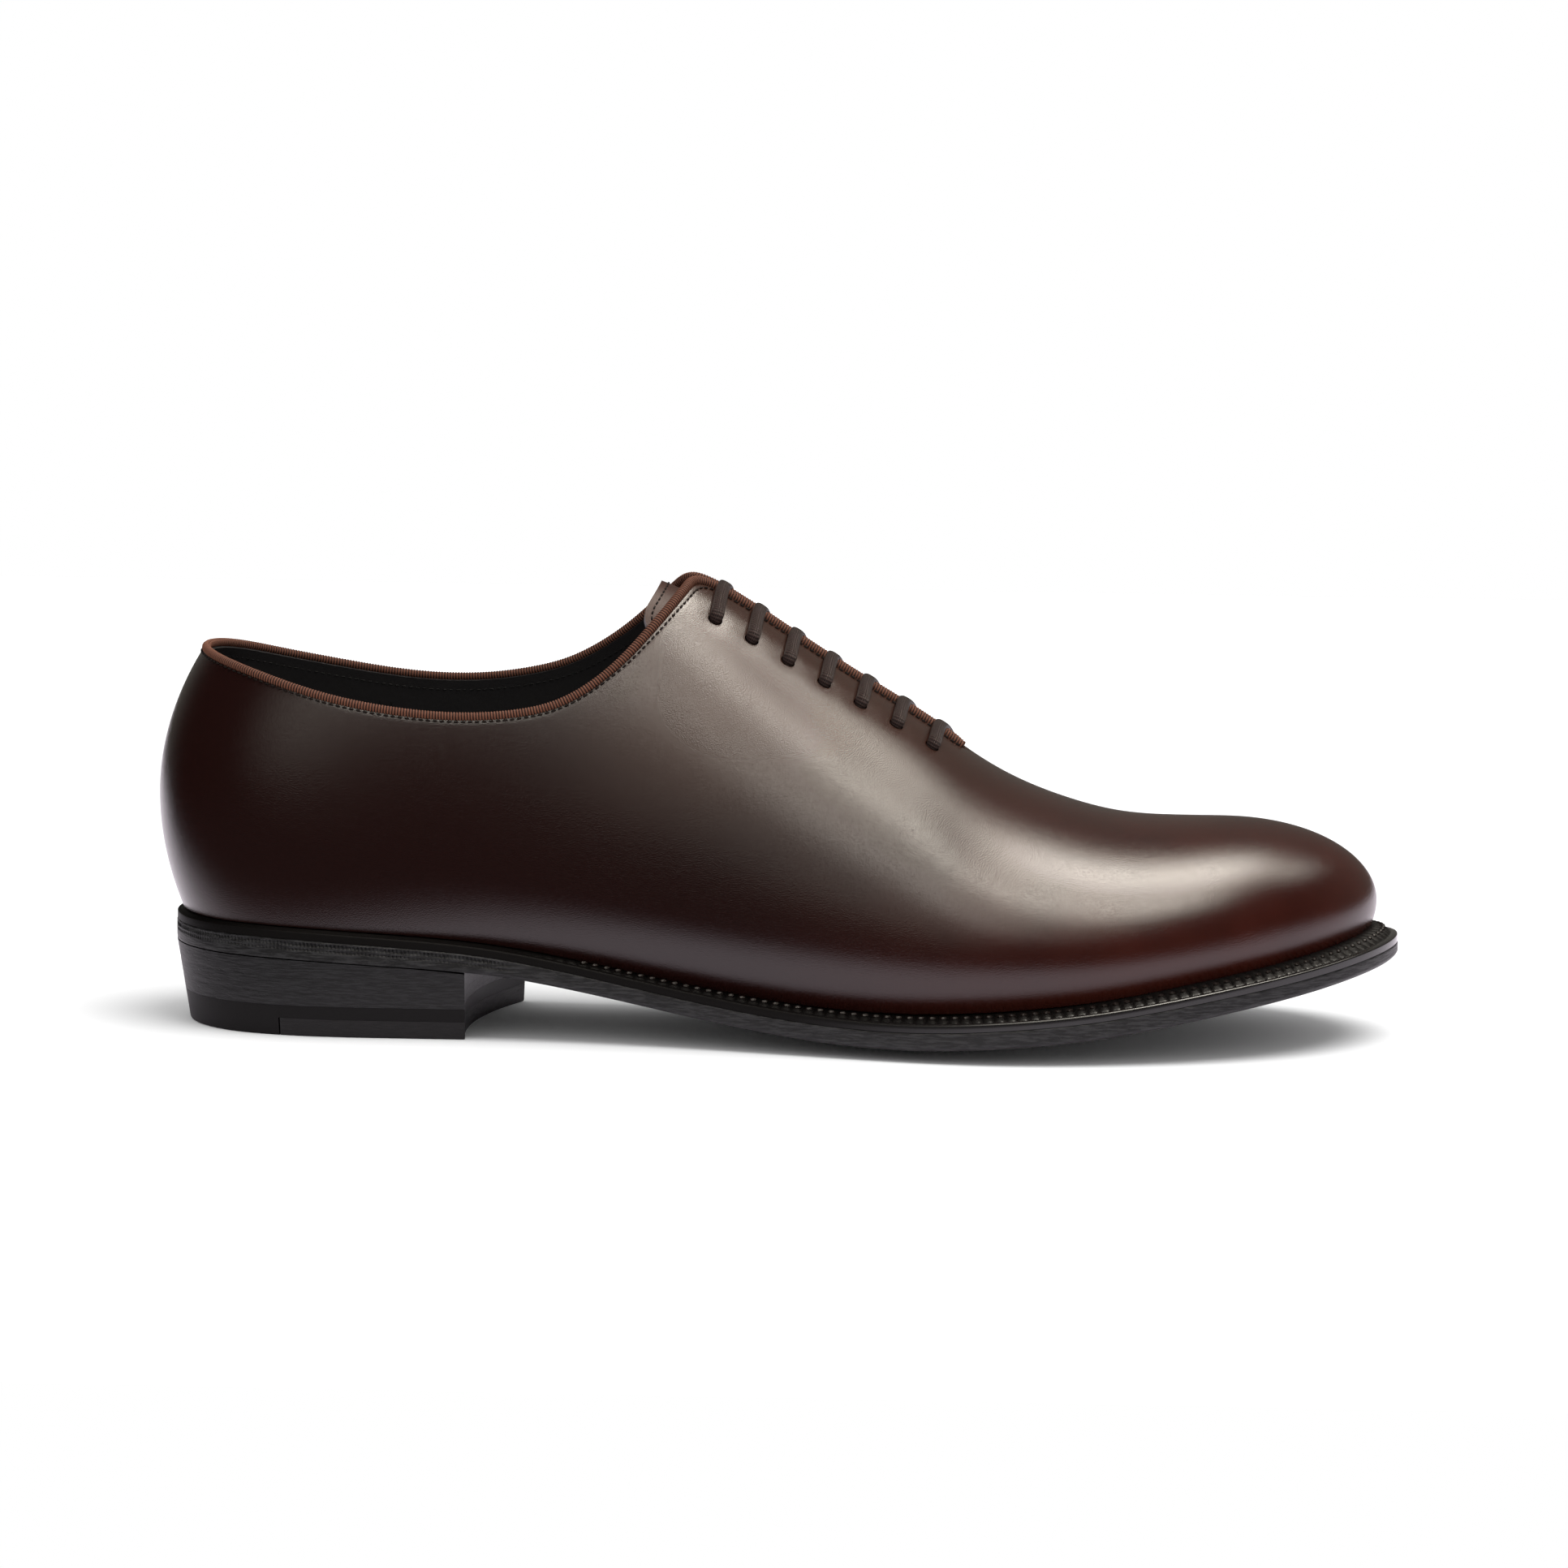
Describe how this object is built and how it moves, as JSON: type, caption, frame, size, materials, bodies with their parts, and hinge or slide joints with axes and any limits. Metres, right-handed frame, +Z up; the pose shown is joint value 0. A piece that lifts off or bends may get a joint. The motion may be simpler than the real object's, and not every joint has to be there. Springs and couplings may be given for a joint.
{
  "type": "wholecut oxford shoe",
  "caption": "Right wholecut oxford shoe: seamless leather upper with ribbed binding at collar and throat, straight lacing, welted leather sole with arch and toe spring, stacked heel.",
  "frame": {"origin": "middle of the shoe's length and width on the floor under the sole", "axes": "+X toward the toe, +Y toward the medial (inner) side, +Z up"},
  "size_m": [0.304, 0.1033, 0.1101],
  "materials": {
    "upper_leather": "dark brown, fine grain, soft polish",
    "tongue_leather": "dark brown, fine grain",
    "binding_tape": "ribbed woven tape",
    "lace_cord": "fine braid, waxed",
    "insole_leather": "matte",
    "welt_leather": "waxed black edge",
    "outsole_leather": "waxed black edge",
    "heel_leather": "waxed black lifts",
    "heel_rubber": "matte black",
    "insert_leather": "waxed black"
  },
  "bodies": {
    "root": {"upper": "upper_leather", "tongue": "tongue_leather", "topline_binding": "binding_tape", "lace": "lace_cord", "insole": "insole_leather", "welt": "welt_leather", "outsole": "outsole_leather", "heel_stack": "heel_leather", "heel_rubber": "heel_rubber", "heel_insert": "insert_leather"}
  },
  "joints": []
}
